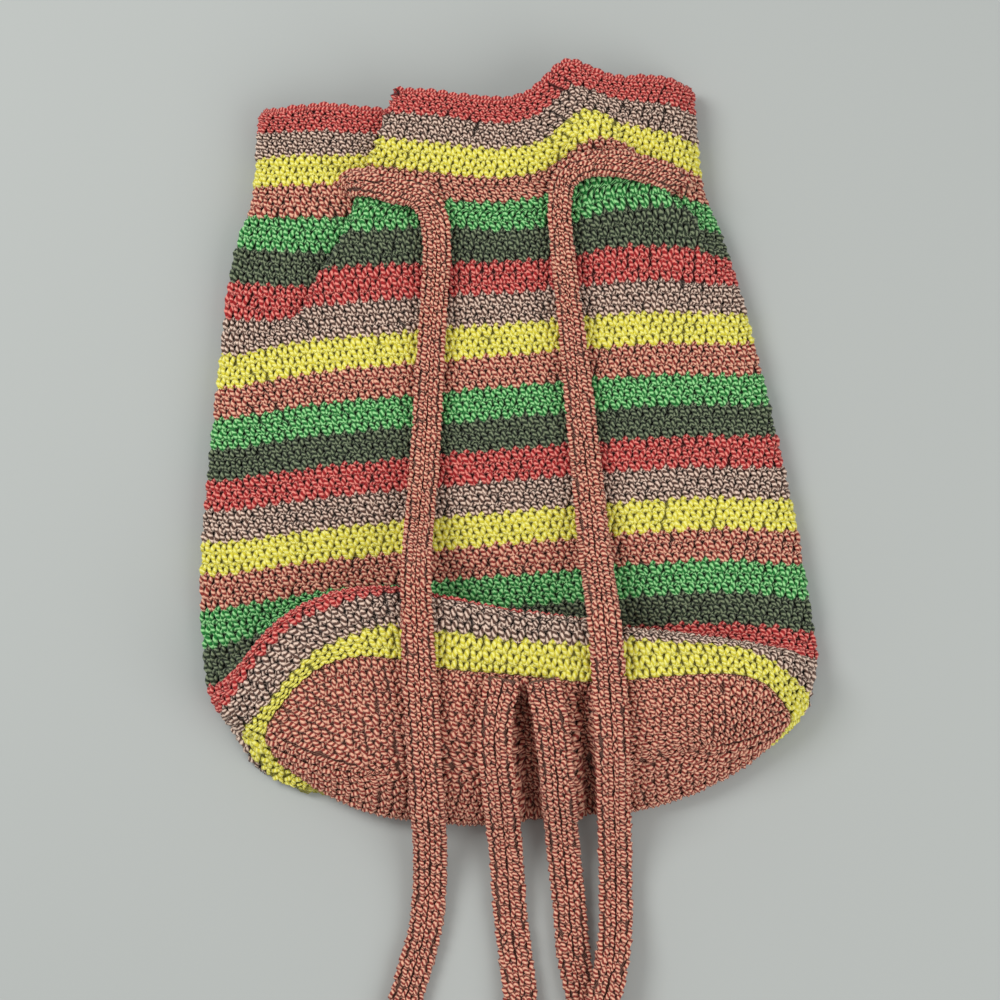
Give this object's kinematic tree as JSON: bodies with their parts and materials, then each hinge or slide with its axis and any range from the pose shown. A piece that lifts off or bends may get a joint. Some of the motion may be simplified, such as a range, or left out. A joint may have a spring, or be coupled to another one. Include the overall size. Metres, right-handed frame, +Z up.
{
  "type": "crochet drawstring backpack",
  "caption": "Soft crocheted drawstring backpack with striped walls and an oval base, lying flat and empty, with one crocheted cord as drawstring and shoulder straps.",
  "frame": {"origin": "on the ground under the middle of the bag's bounding box", "axes": "+Y from the base towards the mouth, +X to the right seen from above with the mouth up, +Z up away from the ground, towards the strap side"},
  "size_m": [0.2688, 0.506, 0.0579],
  "materials": {
    "striped_yarn": "marled yarn in single crochet, matte, six colours in stripes",
    "cord_yarn": "marled terracotta yarn in single crochet, matte"
  },
  "bodies": {
    "root": {"bag_body": "striped_yarn", "drawstring": "cord_yarn"}
  },
  "joints": []
}
